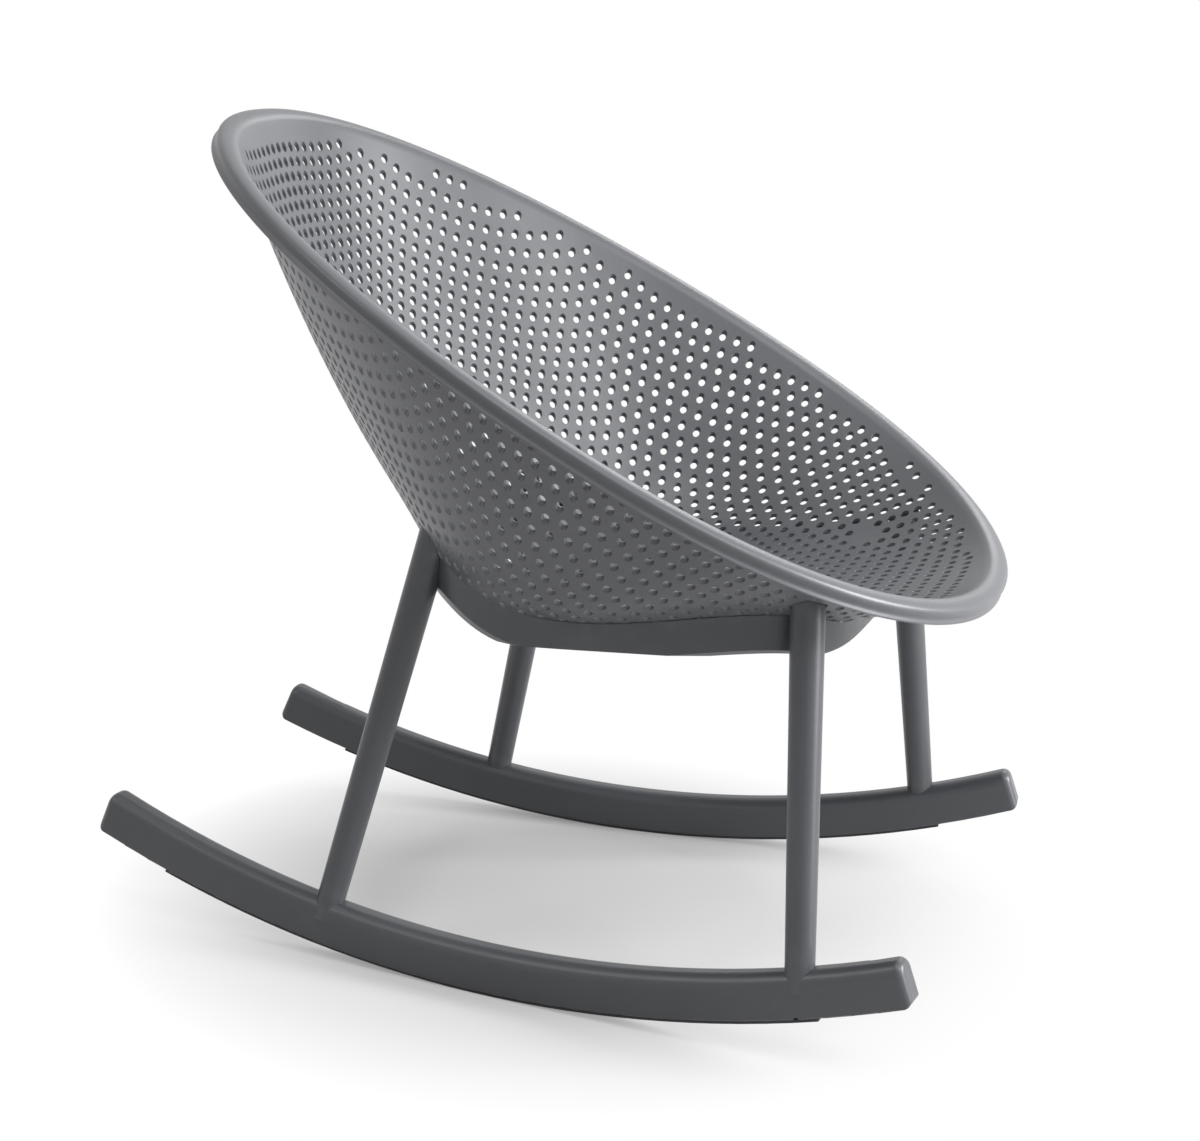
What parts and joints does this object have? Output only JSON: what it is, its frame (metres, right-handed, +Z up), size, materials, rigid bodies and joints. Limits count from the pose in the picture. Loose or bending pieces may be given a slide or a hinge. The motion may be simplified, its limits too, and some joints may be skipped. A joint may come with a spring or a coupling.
{
  "type": "rocking chair",
  "caption": "Rocking armchair with a perforated egg-shaped plastic bucket on a band frame, splayed round legs and curved runners.",
  "frame": {"origin": "middle of the line on which the two treads touch the floor, with the chair at rest", "axes": "+Z up from the floor, -Y the way the sitter faces, +X to the sitter's left"},
  "size_m": [0.7054, 0.8434, 0.7873],
  "materials": {
    "moulded_plastic": "satin",
    "tread_rubber": "matte",
    "zinc_steel": "satin",
    "insert_brass": "satin"
  },
  "bodies": {
    "root": {"front_left_leg": "moulded_plastic", "front_right_leg": "moulded_plastic", "left_runner": "moulded_plastic", "left_runner_tread": "tread_rubber", "leg_inserts": "insert_brass", "leg_screw_washers": "zinc_steel", "leg_screws": "zinc_steel", "rear_left_leg": "moulded_plastic", "rear_right_leg": "moulded_plastic", "right_runner": "moulded_plastic", "right_runner_tread": "tread_rubber", "runner_screw_washers": "zinc_steel", "runner_screws": "zinc_steel", "seat_frame": "moulded_plastic", "seat_shell": "moulded_plastic", "shell_inserts": "insert_brass", "shell_screw_washers": "zinc_steel", "shell_screws": "zinc_steel"}
  },
  "joints": []
}
